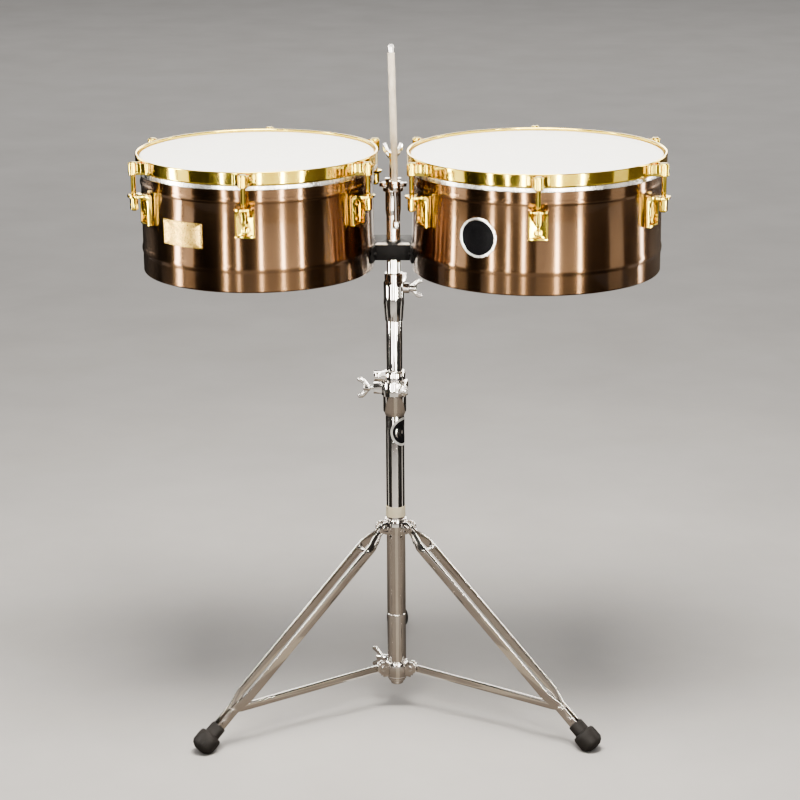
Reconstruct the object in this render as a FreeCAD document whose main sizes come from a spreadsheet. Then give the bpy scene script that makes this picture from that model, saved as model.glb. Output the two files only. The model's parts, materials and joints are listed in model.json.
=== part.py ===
import FreeCAD, Part

import math
import os

import Sketcher

# Timbales: two metal drums on a bracket, a telescopic column and a folding tripod.
# Millimetres. +Z is up, X runs along the two drums and the player's side is -Y.
# The origin is on the floor under the column's axis.

DOCUMENT = FreeCAD.newDocument("Timbales")
SHEET = DOCUMENT.addObject("Spreadsheet::Sheet", "Dims")
Z_AXIS = FreeCAD.Vector(0, 0, 1)
Y_AXIS = FreeCAD.Vector(0, 1, 0)
X_AXIS = FreeCAD.Vector(1, 0, 0)
NODES = []


class Size:
    """A number together with the sheet formula that it comes from."""

    def __init__(self, value, formula):
        self.value = value
        self.formula = formula

    def __add__(self, other):
        return Size(self.value + number(other), f"({self.formula} + {text(other)})")

    def __radd__(self, other):
        return Size(number(other) + self.value, f"({text(other)} + {self.formula})")

    def __sub__(self, other):
        return Size(self.value - number(other), f"({self.formula} - {text(other)})")

    def __rsub__(self, other):
        return Size(number(other) - self.value, f"({text(other)} - {self.formula})")

    def __mul__(self, other):
        return Size(self.value * number(other), f"({self.formula} * {text(other)})")

    def __rmul__(self, other):
        return Size(number(other) * self.value, f"({text(other)} * {self.formula})")

    def __truediv__(self, other):
        return Size(self.value / number(other), f"({self.formula} / {text(other)})")

    def __neg__(self):
        return Size(-self.value, f"(-1 * {self.formula})")


def number(size):
    return size.value if isinstance(size, Size) else float(size)


def text(size):
    return size.formula if isinstance(size, Size) else repr(float(size))


def dim(name, value):
    """Put one driving dimension in the sheet and return it as a Size."""
    row = len(DIMS) + 1
    SHEET.set(f"A{row}", name)
    SHEET.set(f"B{row}", str(value))
    SHEET.setAlias(f"B{row}", name)
    DIMS[name] = Size(float(value), f"Dims.{name}")
    return DIMS[name]


DIMS = {}

# Drums. A 14 inch shell on the left and a 15 inch shell on the right.
left_radius = dim("left_radius", 177.8)
right_radius = dim("right_radius", 190.5)
shell_gap = dim("shell_gap", 58.4)
drum_back = dim("drum_back", -15)
rim_top = dim("rim_top", 923.3)
shell_bottom = dim("shell_bottom", 740.8)
shell_wall = dim("shell_wall", 1.4)
bead_height = dim("bead_height", 1.5)
bottom_lip = dim("bottom_lip", 8)
head_drop = dim("head_drop", 3.5)
rim_height = dim("rim_height", 19.8)
rim_reach = dim("rim_reach", 7.25)
rim_thickness = dim("rim_thickness", 3.4)
hoop_height = dim("hoop_height", 7)
rod_offset = dim("rod_offset", 24.6)
rod_radius = dim("rod_radius", 3.8)
lug_top = dim("lug_top", 50)
lug_height = dim("lug_height", 47)
lug_width = dim("lug_width", 29)
lug_plate = dim("lug_plate", 2.5)
nut_drop = dim("nut_drop", 54.4)
nut_height = dim("nut_height", 17.5)
screw_radius = dim("screw_radius", 2.5)
plate_angle = dim("plate_angle", -34)
round_badge_angle = dim("round_badge_angle", -27.3)
badge_level = dim("badge_level", 824)
badge_radius = dim("badge_radius", 30)
name_plate_width = dim("name_plate_width", 76)
name_plate_height = dim("name_plate_height", 38)

# Column: three telescoping tubes with their clamps.
base_radius = dim("base_radius", 15)
base_bore = dim("base_bore", 13.1)
base_bottom = dim("base_bottom", 50)
base_top = dim("base_top", 530)
middle_radius = dim("middle_radius", 12.7)
middle_bore = dim("middle_bore", 11.45)
middle_bottom = dim("middle_bottom", 290)
upper_radius = dim("upper_radius", 11.1)
upper_bore = dim("upper_bore", 9.4)
upper_bottom = dim("upper_bottom", 585)
clamp_bottom = dim("clamp_bottom", 498)
clamp_top = dim("clamp_top", 555)
lock_top = dim("lock_top", 571)
collar_bottom = dim("collar_bottom", 652)
collar_shoulder = dim("collar_shoulder", 713)
collar_top = dim("collar_top", 728)
fitting_bottom = dim("fitting_bottom", 820)
flange_top = dim("flange_top", 862.8)
post_radius = dim("post_radius", 5.5)
post_top = dim("post_top", 907)

# Cowbell rod, which leans a little to the left.
cowbell_back = dim("cowbell_back", -25)
cowbell_side = dim("cowbell_side", 4.25)
cowbell_pivot = dim("cowbell_pivot", 870)
cowbell_lean = dim("cowbell_lean", -1.24)
cowbell_top = dim("cowbell_top", 215)
cowbell_bottom = dim("cowbell_bottom", -67)
sleeve_radius = dim("sleeve_radius", 5.25)

# Drum bracket.
bracket_bottom = dim("bracket_bottom", 754)
bracket_height = dim("bracket_height", 24)
bracket_front = dim("bracket_front", -30)
bracket_depth = dim("bracket_depth", 75)
mount_plate_thickness = dim("mount_plate_thickness", 3)

# Tripod. Angles are measured from +X round the column and, for a leg, from the vertical.
tripod_turn = dim("tripod_turn", 2.5)
leg_angle = dim("leg_angle", 47.3)
leg_pivot_radius = dim("leg_pivot_radius", 23.6)
leg_pivot_level = dim("leg_pivot_level", 313.7)
leg_width = dim("leg_width", 15)
strip_thickness = dim("strip_thickness", 2.2)
strip_spread = dim("strip_spread", 14)
strip_top_spread = dim("strip_top_spread", 4)
strip_foot_spread = dim("strip_foot_spread", 5)
brace_pivot_along = dim("brace_pivot_along", 375)
boot_along = dim("boot_along", 406)
strip_end = dim("strip_end", 417)
hub_pivot_radius = dim("hub_pivot_radius", 27.2)
hub_pivot_level = dim("hub_pivot_level", 72.7)
hub_bottom = dim("hub_bottom", 55)
hub_top = dim("hub_top", 80)
ear_slot = dim("ear_slot", 4.4)
brace_thickness = dim("brace_thickness", 3)
brace_width = dim("brace_width", 13)
pin_radius = dim("pin_radius", 3)
running = dim("running", 0.06)
clearance = dim("clearance", 0.3)

left_side = -(shell_gap / 2 + left_radius)
right_side = shell_gap / 2 + right_radius
LUG_SCREW_DROPS = (64, 87.5)
LUG_ANGLES = [0, 60, 120, 180, 240, 300]


def bind(item, name, size):
    """Give a property its value and tie it to the sheet."""
    setattr(item, name, number(size))
    if isinstance(size, Size):
        item.setExpression(name, size.formula)


def place(item, x=0, y=0, z=0, rotation=None):
    item.Placement = FreeCAD.Placement(
        FreeCAD.Vector(number(x), number(y), number(z)), rotation or FreeCAD.Rotation()
    )
    for axis, distance in (("x", x), ("y", y), ("z", z)):
        if isinstance(distance, Size):
            item.setExpression("Placement.Base." + axis, distance.formula)
    return item


def turn(axis, angle):
    return FreeCAD.Rotation(axis, number(angle))


def new(kind, name):
    item = DOCUMENT.addObject(kind, name)
    item.Label = name
    return item


def cylinder(name, radius, height, x=0, y=0, z=0, rotation=None):
    item = new("Part::Cylinder", name)
    bind(item, "Radius", radius)
    bind(item, "Height", height)
    return place(item, x, y, z, rotation)


def box(name, length, width, height, x=0, y=0, z=0, rotation=None):
    """A box whose corner nearest the origin is at x, y, z."""
    item = new("Part::Box", name)
    bind(item, "Length", length)
    bind(item, "Width", width)
    bind(item, "Height", height)
    return place(item, x, y, z, rotation)


def cone(name, lower, upper, height, x=0, y=0, z=0, rotation=None):
    item = new("Part::Cone", name)
    bind(item, "Radius1", lower)
    bind(item, "Radius2", upper)
    bind(item, "Height", height)
    return place(item, x, y, z, rotation)


def hexagon(name, radius, height, x=0, y=0, z=0, rotation=None):
    item = new("Part::Prism", name)
    item.Polygon = 6
    bind(item, "Circumradius", radius)
    bind(item, "Height", height)
    return place(item, x, y, z, rotation)


def fuse(name, shapes):
    item = new("Part::MultiFuse", name)
    item.Shapes = shapes
    return item


def cut(name, base, tools):
    item = new("Part::Cut", name)
    item.Base = base
    item.Tool = tools[0] if len(tools) == 1 else fuse(name + "_tools", tools)
    return item


def common(name, first, second):
    item = new("Part::Common", name)
    item.Base = first
    item.Tool = second
    return item


def group(name, shapes):
    """Separate solids that share one node."""
    item = new("Part::Compound", name)
    item.Links = shapes
    return item


def copy(name, source, x=0, y=0, z=0, rotation=None):
    item = DOCUMENT.addObject("App::Link", name)
    item.LinkedObject = source
    item.LinkTransform = False
    return place(item, x, y, z, rotation)


def node(item):
    NODES.append(item)
    return item


def outline(body, plane, corners):
    """A closed straight-sided sketch whose corners are held by the sheet."""
    sketch = body.newObject("Sketcher::SketchObject", body.Name + "_outline")
    support = [item for item in body.Origin.OriginFeatures if item.Role == plane]
    sketch.AttachmentSupport = [(support[0], "")]
    sketch.MapMode = "FlatFace"
    points = [FreeCAD.Vector(number(x), number(y), 0) for x, y in corners]
    count = len(points)
    for index in range(count):
        sketch.addGeometry(Part.LineSegment(points[index], points[(index + 1) % count]), False)
    for index in range(count):
        sketch.addConstraint(
            Sketcher.Constraint("Coincident", index, 2, (index + 1) % count, 1)
        )
    for index, corner in enumerate(corners):
        for kind, size in zip(("DistanceX", "DistanceY"), corner):
            held = sketch.addConstraint(
                Sketcher.Constraint(kind, -1, 1, index, 1, number(size))
            )
            if isinstance(size, Size):
                sketch.setExpression(f"Constraints[{held}]", size.formula)
    return sketch


def turned(name, corners, x=0, y=0, z=0, rotation=None):
    """A body turned about its own Z axis from corners given as radius and height."""
    body = new("PartDesign::Body", name)
    sketch = outline(body, "XZ_Plane", corners)
    feature = body.newObject("PartDesign::Revolution", name + "_revolution")
    feature.Profile = sketch
    feature.ReferenceAxis = (sketch, ["V_Axis"])
    feature.Angle = 360
    body.Tip = feature
    return place(body, x, y, z, rotation)


def slab(name, plane, corners, thickness, x=0, y=0, z=0, rotation=None):
    """A flat plate padded the same distance to each side of an origin plane."""
    body = new("PartDesign::Body", name)
    sketch = outline(body, plane, corners)
    feature = body.newObject("PartDesign::Pad", name + "_pad")
    feature.Profile = sketch
    bind(feature, "Length", thickness)
    feature.SideType = "Symmetric"
    body.Tip = feature
    return place(body, x, y, z, rotation)


def ring_of(name, source, side, angles):
    """Copies of a piece made at the origin, set round a drum's axis."""
    return [
        copy(f"{name}_{index}", source, side, drum_back, 0, turn(Z_AXIS, angle - 90))
        for index, angle in enumerate(angles)
    ]


def wing_screw(name, stem, span, x, y, z, rotation):
    """A hand screw whose stem starts at x, y, z and points along its own +Z."""
    half = span / 2
    wings = [
        (-half, 19), (-half, 10), (-6, 2), (6, 2), (half, 10), (half, 19),
        (half - 5, 21), (6, 11), (-6, 11), (-half + 5, 21),
    ]
    pieces = [
        cylinder(name + "_stem", 3, stem + 4),
        cylinder(name + "_barrel", 5.5, 11, 0, 0, stem),
        slab(name + "_wings", "XZ_Plane", wings, 4, 0, 0, stem),
    ]
    return place(fuse(name, pieces), x, y, z, rotation)


def drum(side_name, side, radius):
    """Shell, head, flesh hoop and rim of one drum."""
    crest = radius + bead_height
    shell_top = rim_top - head_drop - 0.8
    beads = []
    for foot, height in ((shell_bottom + 28.5, 16), (rim_top - 49.5, 11.5)):
        beads += [(0, foot), (1, foot + 4), (1, foot + (height - 4)), (0, foot + height)]
    outer = [(crest if raised else radius, level) for raised, level in beads]
    inner = [(edge - shell_wall, level) for edge, level in reversed(outer)]
    profile = [
        (radius - bottom_lip, shell_bottom),
        (radius - 1.5, shell_bottom),
        (radius, shell_bottom + 1.5),
        *outer,
        (radius, shell_top),
        (radius - shell_wall, shell_top),
        *inner,
        (radius - shell_wall, shell_bottom + shell_wall),
        (radius - bottom_lip, shell_bottom + shell_wall),
    ]
    blank = turned(f"shell_blank_{side_name}", profile)
    holes = []
    for index, angle in enumerate(LUG_ANGLES):
        for level, drop in enumerate(LUG_SCREW_DROPS):
            holes.append(
                cylinder(
                    f"hole_{side_name}_{index}_{level}", screw_radius + clearance, 30,
                    (radius - 10) * math.sin(math.radians(angle)),
                    -(radius - 10) * math.cos(math.radians(angle)),
                    rim_top - drop,
                    turn(Z_AXIS, angle - 90) * turn(Y_AXIS, 90),
                )
            )
    inward = 90 if side_name == "left" else -90
    for index, offset in enumerate((-25, 25)):
        holes.append(
            cylinder(
                f"mount_hole_{side_name}_{index}", 3 + clearance, 40,
                (radius - 20) * math.sin(math.radians(inward)), offset, 766,
                turn(Y_AXIS, inward),
            )
        )
    shell = cut(f"shell_{side_name}", blank, holes)
    node(place(shell, side, drum_back, 0))

    film = rim_top - head_drop
    skirt = radius + 0.9
    node(
        turned(
            f"head_{side_name}",
            [
                (0, film - 0.5), (radius + 0.4, film - 0.5), (radius + 0.4, film - 20),
                (skirt, film - 20), (skirt, film), (0, film),
            ],
            side, drum_back,
        )
    )
    hoop_top = rim_top - rim_height - 0.2
    node(
        turned(
            f"flesh_hoop_{side_name}",
            [
                (radius + 1, hoop_top - hoop_height), (radius + 6, hoop_top - hoop_height),
                (radius + 6.6, hoop_top - hoop_height + 0.6), (radius + 6.6, hoop_top),
                (radius + 1, hoop_top),
            ],
            side, drum_back,
        )
    )
    rim_outer = radius + rim_reach
    rim_inner = rim_outer - rim_thickness
    rim_bottom = rim_top - rim_height
    band = turned(
        f"rim_band_{side_name}",
        [
            (rim_inner, rim_bottom), (rim_outer, rim_bottom), (rim_outer, rim_top - 0.8),
            (rim_outer - 0.8, rim_top), (rim_inner + 0.8, rim_top), (rim_inner, rim_top - 0.8),
        ],
        side, drum_back,
    )
    ear = rim_ear(side_name, radius)
    ears = ring_of(f"ear_{side_name}", ear, side, LUG_ANGLES)
    node(fuse(f"rim_{side_name}", [band, *ears]))


def rim_ear(side_name, radius):
    """A bent strap on the rim with an upright eye for the tuning rod, made along +X."""
    foot = radius + rim_reach - 0.6
    eye = radius + rod_offset
    strap = slab(
        f"strap_{side_name}", "XY_Plane",
        [
            (foot, -18), (foot + 2.6, -18), (eye - 4, -6), (eye - 4, 6),
            (foot + 2.6, 18), (foot, 18),
        ],
        17, 0, 0, rim_top - 11.5,
    )
    window = slab(
        f"strap_window_{side_name}", "XY_Plane",
        [
            (foot + 2.4, -12), (eye - 6.2, -3.6), (eye - 6.2, 3.6), (foot + 2.4, 12),
        ],
        30, 0, 0, rim_top - 11.5,
    )
    barrel = cylinder(f"eye_{side_name}", 6.4, 17, eye, 0, rim_top - 20)
    hole = cylinder(f"eye_hole_{side_name}", rod_radius + clearance, 30, eye, 0, rim_top - 25)
    body = fuse(f"ear_body_{side_name}", [strap, barrel])
    return cut(f"ear_proto_{side_name}", body, [window, hole])


def lug_bracket(side_name, radius):
    """A channel on the shell with a shelf that the tuning rod passes through."""
    back = radius + 0.3
    half = lug_width / 2
    top = rim_top - lug_top
    bottom = top - lug_height
    flange = [
        (back, top - 1), (back + 17, top - 1), (back + 16, top - 4), (back + 11.5, top - 6.5),
        (back + 9, top - 12), (back + 9, bottom + 4), (back + 6, bottom), (back, bottom),
    ]
    shelf = slab(
        f"shelf_{side_name}", "XY_Plane",
        [
            (back, -half), (back + 24, -half), (back + 30, -half + 4), (back + 33, -half + 10),
            (back + 33, half - 10), (back + 30, half - 4), (back + 24, half), (back, half),
        ],
        3.5, 0, 0, top - 1.75,
    )
    plate = box(f"lug_back_{side_name}", lug_plate, lug_width, lug_height, back, -half, bottom)
    floor = box(f"lug_floor_{side_name}", 9, lug_width, lug_plate, back, -half, bottom)
    flanges = [
        slab(f"flange_{side_name}_{name}", "XZ_Plane", flange, lug_plate, 0, offset, 0)
        for name, offset in (("a", half - lug_plate / 2), ("b", lug_plate / 2 - half))
    ]
    rod_hole = cylinder(
        f"shelf_hole_{side_name}", rod_radius + clearance, 20, radius + rod_offset, 0, top - 10
    )
    screw_holes = [
        cylinder(
            f"lug_hole_{side_name}_{drop}", screw_radius + clearance, 12, radius - 4, 0,
            rim_top - drop, turn(Y_AXIS, 90),
        )
        for drop in LUG_SCREW_DROPS
    ]
    body = fuse(f"lug_body_{side_name}", [shelf, plate, floor, *flanges])
    return cut(f"lug_proto_{side_name}", body, [rod_hole, *screw_holes])


def lug_screw(side_name, radius):
    """The two screws of one lug: washer and head outside, nut inside the shell."""
    face = radius + 0.4 + lug_plate
    pieces = []
    for drop in LUG_SCREW_DROPS:
        level = rim_top - drop
        across = turn(Y_AXIS, 90)
        name = f"{side_name}_{drop}"
        screw = fuse(
            f"screw_{name}",
            [
                cylinder(f"washer_{name}", 6.2, 1.2, face, 0, level, across),
                hexagon(f"head_of_{name}", 4.6, 4.2, face, 0, level, across),
                cylinder(f"shank_{name}", screw_radius, lug_plate + 9, face - 9, 0, level, across),
                hexagon(f"inner_nut_{name}", 4.6, 3, radius - 4.8, 0, level, across),
            ],
        )
        pieces.append(screw)
    return group(f"screw_pair_{side_name}", pieces)


def tuning_rod(side_name, radius):
    """Threaded rod with a low round head that sits on the rim's ear."""
    top = rim_top - 2.9
    rod = turned(
        f"rod_turned_{side_name}",
        [
            (0, top - 71), (rod_radius - 0.8, top - 71), (rod_radius, top - 70), (rod_radius, top),
            (5.8, top), (5.8, top + 1.6), (4.2, top + 2.8), (0, top + 2.8),
        ],
        radius + rod_offset, 0, 0,
    )
    return group(f"rod_proto_{side_name}", [rod])


def tuning_nut(label, side, radius, angle):
    nut = hexagon(label + "_hexagon", 6.2, nut_height)
    waist = turned(
        label + "_turned",
        [
            (0, 0), (5.4, 0), (6.2, 1), (6.2, nut_height - 1), (5.4, nut_height), (0, nut_height),
        ],
    )
    hole = cylinder(label + "_hole", rod_radius + 0.08, nut_height + 2, 0, 0, -1)
    made = cut(label, common(label + "_body", nut, waist), [hole])
    reach = radius + rod_offset
    return place(
        made,
        side + reach * math.sin(math.radians(angle)),
        drum_back - reach * math.cos(math.radians(angle)),
        rim_top - nut_drop - nut_height,
        turn(Z_AXIS, angle),
    )


def drum_hardware():
    """Lugs, rods, screws and nuts, set every 60 degrees round each drum."""
    brackets = []
    rods = []
    screws = []
    for name, side, radius in DRUMS:
        brackets += ring_of(f"lug_{name}", lug_bracket(name, radius), side, LUG_ANGLES)
        rods += ring_of(f"rod_{name}", tuning_rod(name, radius), side, LUG_ANGLES)
        screws += ring_of(f"screws_{name}", lug_screw(name, radius), side, LUG_ANGLES)
        for index, angle in enumerate(LUG_ANGLES):
            node(tuning_nut(f"tuning_nut_{name}_{index + 1}", side, radius, angle))
    node(group("lug_brackets", brackets))
    node(group("tuning_rods", rods))
    node(group("lug_screws", screws))


def badge_ring(name, radius, thickness):
    """A thin upright band just outside a shell, from which a badge is cut."""
    return turned(
        name,
        [
            (radius + 0.2, badge_level - 40), (radius + 0.2 + thickness, badge_level - 40),
            (radius + 0.2 + thickness, badge_level + 40), (radius + 0.2, badge_level + 40),
        ],
    )


def badges():
    """A blank curved plate on the left shell and a blank round one on the right."""
    across = box(
        "name_plate_cutter", 40, name_plate_width, name_plate_height,
        left_radius - 20, -name_plate_width / 2, badge_level - name_plate_height / 2,
    )
    plate = common("name_plate", badge_ring("name_plate_band", left_radius, 1.2), across)
    node(place(plate, left_side, drum_back, 0, turn(Z_AXIS, plate_angle - 90)))
    disc = cylinder(
        "round_badge_cutter", badge_radius, 60, right_radius - 30, 0, badge_level,
        turn(Y_AXIS, 90),
    )
    badge = common("round_badge", badge_ring("round_badge_band", right_radius, 1.6), disc)
    node(place(badge, right_side, drum_back, 0, turn(Z_AXIS, round_badge_angle - 90)))


def drum_bracket():
    """The black bracket on the upper tube and the plates that carry the shells."""
    block = box(
        "bracket_block", 80, bracket_depth, bracket_height, -40, bracket_front, bracket_bottom
    )
    hollows = [
        cylinder(
            f"bracket_hollow_{name}", radius + 0.4 + mount_plate_thickness, 60,
            side, drum_back, bracket_bottom - 20,
        )
        for name, side, radius in DRUMS
    ]
    bore = cylinder("bracket_bore", upper_radius + clearance, 60, 0, 0, bracket_bottom - 20)
    slot = box("bracket_slot", 3, 60, 60, -1.5, upper_radius - 2, bracket_bottom - 20)
    bolt_hole = cylinder(
        "bracket_hole", 3 + clearance, 100, -50, drum_back + 25, 766, turn(Y_AXIS, 90)
    )
    node(cut("drum_bracket", block, [*hollows, bore, slot, bolt_hole]))

    plates = []
    for name, side, radius in DRUMS:
        band = turned(
            f"mount_band_{name}",
            [
                (radius + 0.2, bracket_bottom), (radius + 0.2 + mount_plate_thickness, bracket_bottom),
                (radius + 0.2 + mount_plate_thickness, bracket_bottom + bracket_height),
                (radius + bead_height + 0.2, bracket_bottom + bracket_height),
                (radius + bead_height + 0.2, bracket_bottom + 14),
                (radius + 0.2, bracket_bottom + 13),
            ],
            side, drum_back,
        )
        across = box(f"mount_window_{name}", 80, 104, 60, -40, -52, bracket_bottom - 20)
        holes = [
            cylinder(f"plate_hole_{name}_{index}", 3 + clearance, 100, -50,
                     drum_back + offset, 766, turn(Y_AXIS, 90))
            for index, offset in enumerate((-25, 25))
        ]
        trimmed = common(f"mount_trimmed_{name}", band, across)
        plates.append(cut(f"mount_plate_{name}", trimmed, holes))
    node(group("mount_plates", plates))

    bolts = []
    for name, side, radius in DRUMS:
        inward = 90 if name == "left" else -90
        for index, offset in enumerate((-25, 25)):
            label = f"mount_bolt_{name}_{index}"
            deep = 14 if index else 10
            bolts.append(
                place(
                    fuse(
                        label,
                        [
                            cylinder(label + "_shank", 3, deep),
                            hexagon(label + "_head", 6, 4, 0, 0, -4),
                        ],
                    ),
                    side + (radius - 5.4) * math.sin(math.radians(inward)),
                    drum_back + offset, 766, turn(Y_AXIS, inward),
                )
            )
    node(group("mount_bolts", bolts))


def column():
    """Base, middle and upper tubes with the fittings that clamp them."""
    node(
        turned(
            "base_tube",
            [
                (base_bore, base_bottom), (base_radius, base_bottom), (base_radius, 163),
                (base_radius - 0.5, 163.3), (base_radius - 0.5, 164), (base_radius, 164.3),
                (base_radius, base_top), (base_bore, base_top),
            ],
        )
    )
    node(
        turned(
            "base_end_cap",
            [
                (0, 40), (8.5, 40), (10, 41.5), (10, 45), (13, 46.5), (13, base_bottom - 0.2),
                (base_bore - 0.15, base_bottom - 0.2), (base_bore - 0.15, 62), (0, 62),
            ],
        )
    )
    node(
        turned(
            "tape_band",
            [
                (base_radius + 0.1, 330), (base_radius + 0.7, 330), (base_radius + 0.7, 347),
                (base_radius + 0.1, 347),
            ],
        )
    )
    node(
        turned(
            "middle_tube",
            [
                (middle_bore, middle_bottom), (middle_radius, middle_bottom),
                (middle_radius, collar_shoulder - 20), (middle_bore, collar_shoulder - 20),
            ],
        )
    )
    node(
        turned(
            "upper_tube",
            [
                (upper_bore, upper_bottom), (upper_radius, upper_bottom),
                (upper_radius, fitting_bottom + 28), (upper_bore, fitting_bottom + 28),
            ],
        )
    )
    base_clamp()
    memory_lock()
    middle_collar()
    top_fittings()


def base_clamp():
    """Sleeve and split ring at the top of the base tube."""
    sleeve = turned(
        "clamp_sleeve",
        [
            (base_radius + 0.1, clamp_bottom), (base_radius + 0.7, clamp_bottom),
            (19, clamp_bottom + 8), (19, base_top), (21.5, base_top + 2),
            (21.5, clamp_top - 2), (20, clamp_top), (middle_radius + 0.4, clamp_top),
            (middle_radius + 0.4, base_top + 0.3), (base_radius + 0.1, base_top + 0.3),
        ],
    )
    left_lug = box("clamp_left_lug", 14, 16, 17, -33, -8, base_top + 4)
    pivot_lug = cylinder(
        "clamp_pivot_lug", 8, 12, 14, -26, base_top + 14, turn(X_AXIS, -90)
    )
    body = fuse("clamp_body", [sleeve, left_lug, pivot_lug])
    bore = cylinder(
        "clamp_inner", middle_radius + 0.4, 22, 0, 0, base_top + 4
    )
    screw_hole = cylinder(
        "clamp_screw_hole", 3 + running, 30, -40, 0, base_top + 12, turn(Y_AXIS, 90)
    )
    bolt_hole = cylinder(
        "clamp_bolt_hole", 3 + running, 9, 14, -27, base_top + 14, turn(X_AXIS, -90)
    )
    node(cut("base_clamp", body, [bore, screw_hole, bolt_hole]))
    bolt = [
        cylinder("clamp_bolt_shank", 3, 7, 14, -26.5, base_top + 14, turn(X_AXIS, -90)),
        hexagon("clamp_bolt_head", 5.4, 3.4, 14, -29.6, base_top + 14, turn(X_AXIS, -90)),
    ]
    node(fuse("clamp_bolt", bolt))
    node(wing_screw("clamp_wing_screw", 12, 34, -26, 0, base_top + 12, turn(Y_AXIS, -90)))


def memory_lock():
    """Ring fixed on the middle tube, which rests on the clamp below it."""
    ring = turned(
        "lock_ring",
        [
            (middle_radius + 0.1, clamp_top + 0.3), (17.3, clamp_top + 0.3),
            (17.3, lock_top - 3), (15, lock_top), (middle_radius + 0.1, lock_top),
        ],
    )
    lug = box("lock_lug", 18, 12, 13.5, -32, -13, clamp_top + 1.5)
    inner = cylinder("lock_inner", middle_radius + 0.1, 20, 0, 0, clamp_top)
    body = cut("lock_body", fuse("lock_blank", [ring, lug]), [inner])
    bolt = cylinder("lock_bolt", 4.2, 3, -25.5, -15.5, clamp_top + 8.2, turn(X_AXIS, -90))
    node(fuse("memory_lock", [body, bolt]))


def middle_collar():
    """Taper, barrel and top ring that guide the upper tube."""
    guide = upper_radius + 0.35
    seat = middle_radius + 0.1
    barrel = turned(
        "collar_barrel",
        [
            (seat, collar_bottom), (14.25, collar_bottom), (15.85, collar_bottom + 24),
            (16.25, collar_bottom + 26), (16.25, collar_shoulder), (14.6, collar_shoulder + 3),
            (14.6, collar_top - 2), (13.4, collar_top), (guide, collar_top),
            (guide, collar_shoulder - 19.5), (seat, collar_shoulder - 19.5),
        ],
    )
    boss = cylinder(
        "collar_boss", 8, 10, 14, 0, collar_shoulder - 10, turn(Y_AXIS, 90)
    )
    tab = box("collar_tab", 8, 9, 13, 11.5, -4.5, collar_shoulder + 1)
    body = fuse("collar_body", [barrel, boss, tab])
    inner = cylinder("collar_inner", guide, 60, 0, 0, collar_shoulder - 19)
    screw_hole = cylinder(
        "collar_screw_hole", 3 + running, 20, 12, 0, collar_shoulder - 10, turn(Y_AXIS, 90)
    )
    node(cut("middle_collar", body, [inner, screw_hole]))
    node(
        wing_screw(
            "collar_wing_screw", 10, 30, 14, 0, collar_shoulder - 10, turn(Y_AXIS, 90)
        )
    )


def top_fittings():
    """Sleeve, flange, clamp plate and post above the upper tube."""
    seat = upper_radius + 0.1
    node(
        turned(
            "top_sleeve",
            [
                (seat, fitting_bottom), (upper_radius + 0.5, fitting_bottom),
                (12.5, fitting_bottom + 8), (12.5, flange_top - 6.3), (16, flange_top - 6),
                (16, flange_top), (0, flange_top), (0, flange_top - 8), (seat, flange_top - 8),
            ],
        )
    )
    plate_level = flange_top + 0.2
    block = cylinder("clamp_block", 12, 14, 0, 0, plate_level)
    wings = slab(
        "clamp_lobes", "XY_Plane",
        [
            (-21, -4), (-15, -8), (15, -8), (21, -4), (21, 4), (15, 8), (-15, 8), (-21, 4),
        ],
        6, 0, 0, plate_level + 4,
    )
    nose = cylinder(
        "clamp_nose", 6.5, 8, cowbell_side, -14.5, cowbell_pivot, turn(X_AXIS, -90)
    )
    post = cylinder("clamp_post", post_radius, post_top - plate_level - 12, 0, 0, plate_level + 12)
    stud = cylinder("clamp_stud", 3.5, 14, 0, 0, post_top - 1)
    body = fuse("top_clamp_body", [block, wings, nose, post, stud])
    eye_hole = cylinder(
        "clamp_eye_hole", 3 + running, 14, cowbell_side, -16, cowbell_pivot, turn(X_AXIS, -90)
    )
    node(cut("top_clamp", body, [eye_hole]))

    half = [(3, 0), (7, 0), (15, 14), (15, 22), (10, 23.5), (5, 12)]
    mirrored = [(-x, z) for x, z in reversed(half)]
    lobes = slab("post_wing_lobes", "XZ_Plane", half + mirrored, 6, 0, 0, post_top + 0.6)
    hub = cylinder("post_wing_hub", 7, 9, 0, 0, post_top + 0.3)
    stud_hole = cylinder("post_wing_hole", 3.5 + running, 30, 0, 0, post_top - 2)
    node(cut("post_wing", fuse("post_wing_body", [lobes, hub]), [stud_hole]))


def cowbell_post():
    """Eye clamp and the leaning rod with its pale sleeve."""
    lean = turn(Y_AXIS, cowbell_lean)
    eye = cylinder("eye_ring", 8.4, 14, 0, 0, -7)
    neck = cylinder("eye_neck", 3, 13, 0, 5.6, 0, turn(X_AXIS, -90))
    hole = cylinder("eye_bore", sleeve_radius - 0.6 + clearance, 30, 0, 0, -15)
    ring = cut("eye_cut", fuse("eye_body", [eye, neck]), [hole])
    node(place(group("rod_eye", [ring]), cowbell_side, cowbell_back, cowbell_pivot, lean))

    core = 3.75
    crown = cowbell_top - 13
    free_wall = 66
    node(
        turned(
            "cowbell_rod",
            [
                (0, cowbell_bottom + 10.2), (core, cowbell_bottom + 10.2), (core, crown),
                (sleeve_radius - 0.6, crown), (sleeve_radius - 0.6, cowbell_top - 4),
                (3.6, cowbell_top - 1), (0, cowbell_top),
            ],
            cowbell_side, cowbell_back, cowbell_pivot, lean,
        )
    )
    node(
        turned(
            "rod_sleeve",
            [
                (core + 0.05, -9), (sleeve_radius - 0.9, -9), (sleeve_radius - 0.6, -8),
                (sleeve_radius - 0.6, free_wall - 2), (sleeve_radius, free_wall),
                (sleeve_radius, crown - 0.1), (core + 0.05, crown - 0.1),
            ],
            cowbell_side, cowbell_back, cowbell_pivot, lean,
        )
    )
    stop = hexagon("stop_hexagon", 6.2, 10, 0, 0, cowbell_bottom)
    node(place(group("rod_stop", [stop]), cowbell_side, cowbell_back, cowbell_pivot, lean))


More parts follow.
